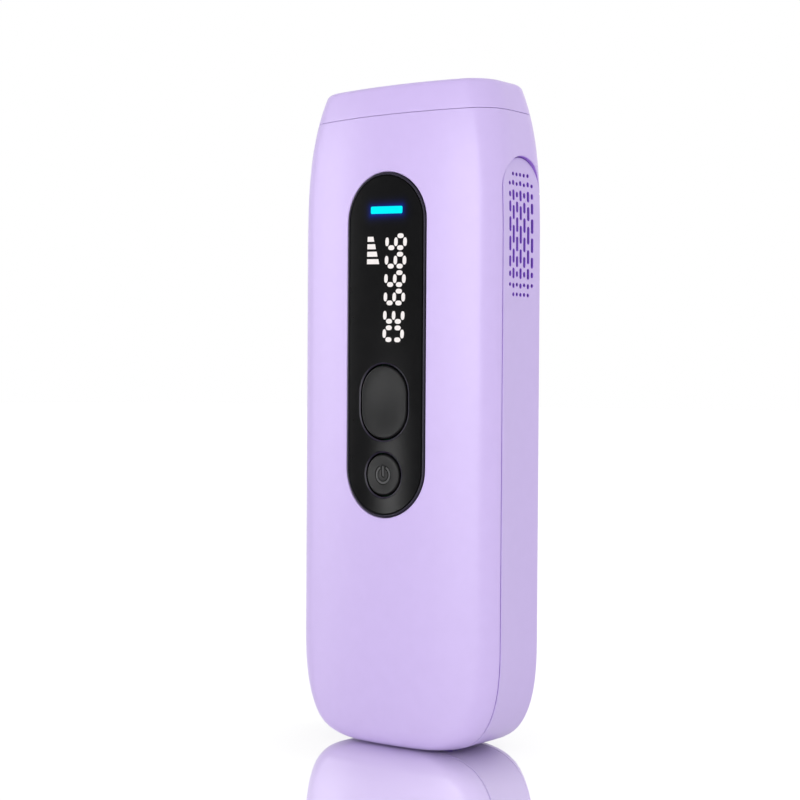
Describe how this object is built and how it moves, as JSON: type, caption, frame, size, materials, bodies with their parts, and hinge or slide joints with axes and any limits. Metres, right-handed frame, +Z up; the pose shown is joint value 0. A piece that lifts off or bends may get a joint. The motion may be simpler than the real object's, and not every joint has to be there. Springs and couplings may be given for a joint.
{
  "type": "ipl hair removal handset",
  "caption": "Hand-held light epilator: rounded clamshell body with vented side trim, flush control panel with sprung keys, read-out and a cooled window on top.",
  "frame": {"origin": "bottom centre of the bounding box, on the surface the base plate stands on", "axes": "+Z up through the head, -Y towards the user out of the control panel, +X to the right as seen from the front"},
  "size_m": [0.0618, 0.0307, 0.1652],
  "materials": {
    "lilac_plastic": "satin lilac injection moulding",
    "lilac_trim": "satin lilac trim, a shade deeper",
    "smoked_lens": "satin black lens",
    "display_light": "glowing white segments",
    "blue_light": "glowing cyan",
    "black_plastic": "moulded black",
    "button_black": "satin black",
    "switch_plunger": "moulded cream",
    "circuit_board": "green solder mask on glass fibre",
    "screw_steel": "plated steel",
    "bright_bezel": "satin anodised",
    "silicone": "matt",
    "sapphire": "polished sapphire",
    "sensor_metal": "polished contact metal",
    "cold_aluminium": "machined",
    "filter_glass": "amber filter coating",
    "lamp_ceramic": "white heat-proof moulding",
    "mirror_foil": "polished reflector",
    "lamp_quartz": "clear quartz",
    "red_wire": "silicone insulation",
    "black_wire": "vinyl insulation",
    "cooler_ceramic": "white alumina",
    "bronze": "sintered bronze",
    "capacitor_sleeve": "dark blue sleeve",
    "ferrite": "matt ferrite",
    "copper_wire": "enamelled copper",
    "ribbon": "polyimide film",
    "screen_plastic": "moulded dust screen"
  },
  "bodies": {
    "housing": {"front_shell": "lilac_plastic", "rear_shell": "lilac_plastic", "side_trim": "lilac_trim", "base_plate": "lilac_trim", "head_cap": "lilac_plastic", "control_panel": "smoked_lens", "display_digits": "display_light", "level_bars": "display_light", "light_bar": "blue_light", "display_module": "black_plastic", "flash_switch": "black_plastic", "power_switch": "black_plastic", "control_pcb": "circuit_board", "control_pcb_screws": "screw_steel", "window_bezel": "bright_bezel", "window_gasket": "silicone", "sapphire_window": "sapphire", "skin_sensors": "sensor_metal", "cold_frame": "cold_aluminium", "filter_glass": "filter_glass", "lamp_holder": "lamp_ceramic", "reflector": "mirror_foil", "xenon_lamp": "lamp_quartz", "lamp_electrodes": "sensor_metal", "lamp_leads": "red_wire", "head_screws": "screw_steel", "cooler_module": "cooler_ceramic", "heat_sink": "cold_aluminium", "blower_housing": "black_plastic", "blower_cover": "black_plastic", "blower_bearing": "bronze", "blower_screws": "screw_steel", "main_pcb": "circuit_board", "main_pcb_screws": "screw_steel", "flash_capacitor": "capacitor_sleeve", "transformer_core": "ferrite", "transformer_coil": "copper_wire", "trigger_coil": "copper_wire", "power_transistor": "black_plastic", "driver_chips": "black_plastic", "dc_jack": "black_plastic", "dc_jack_contacts": "sensor_metal", "dc_leads": "black_wire", "ribbon_cable": "ribbon", "case_screws": "screw_steel", "vent_screens": "screen_plastic"},
    "flash_key": {"flash_button": "button_black", "flash_switch_plunger": "switch_plunger"},
    "power_key": {"power_button": "button_black", "power_switch_plunger": "switch_plunger"},
    "impeller": {"blower_impeller": "black_plastic"}
  },
  "joints": [
    {"name": "flash_button_press", "type": "slide", "parent": "housing", "child": "flash_key", "axis": [0, 1, 0], "range_m": [0, 0.0005], "stiffness_N_per_m": 900},
    {"name": "power_button_press", "type": "slide", "parent": "housing", "child": "power_key", "axis": [0, 1, 0], "range_m": [0, 0.0005], "stiffness_N_per_m": 900},
    {"name": "blower_spin", "type": "hinge", "parent": "housing", "child": "impeller", "pos_m": [0, 0.0055, 0.1012], "axis": [0, 1, 0], "continuous": true}
  ]
}
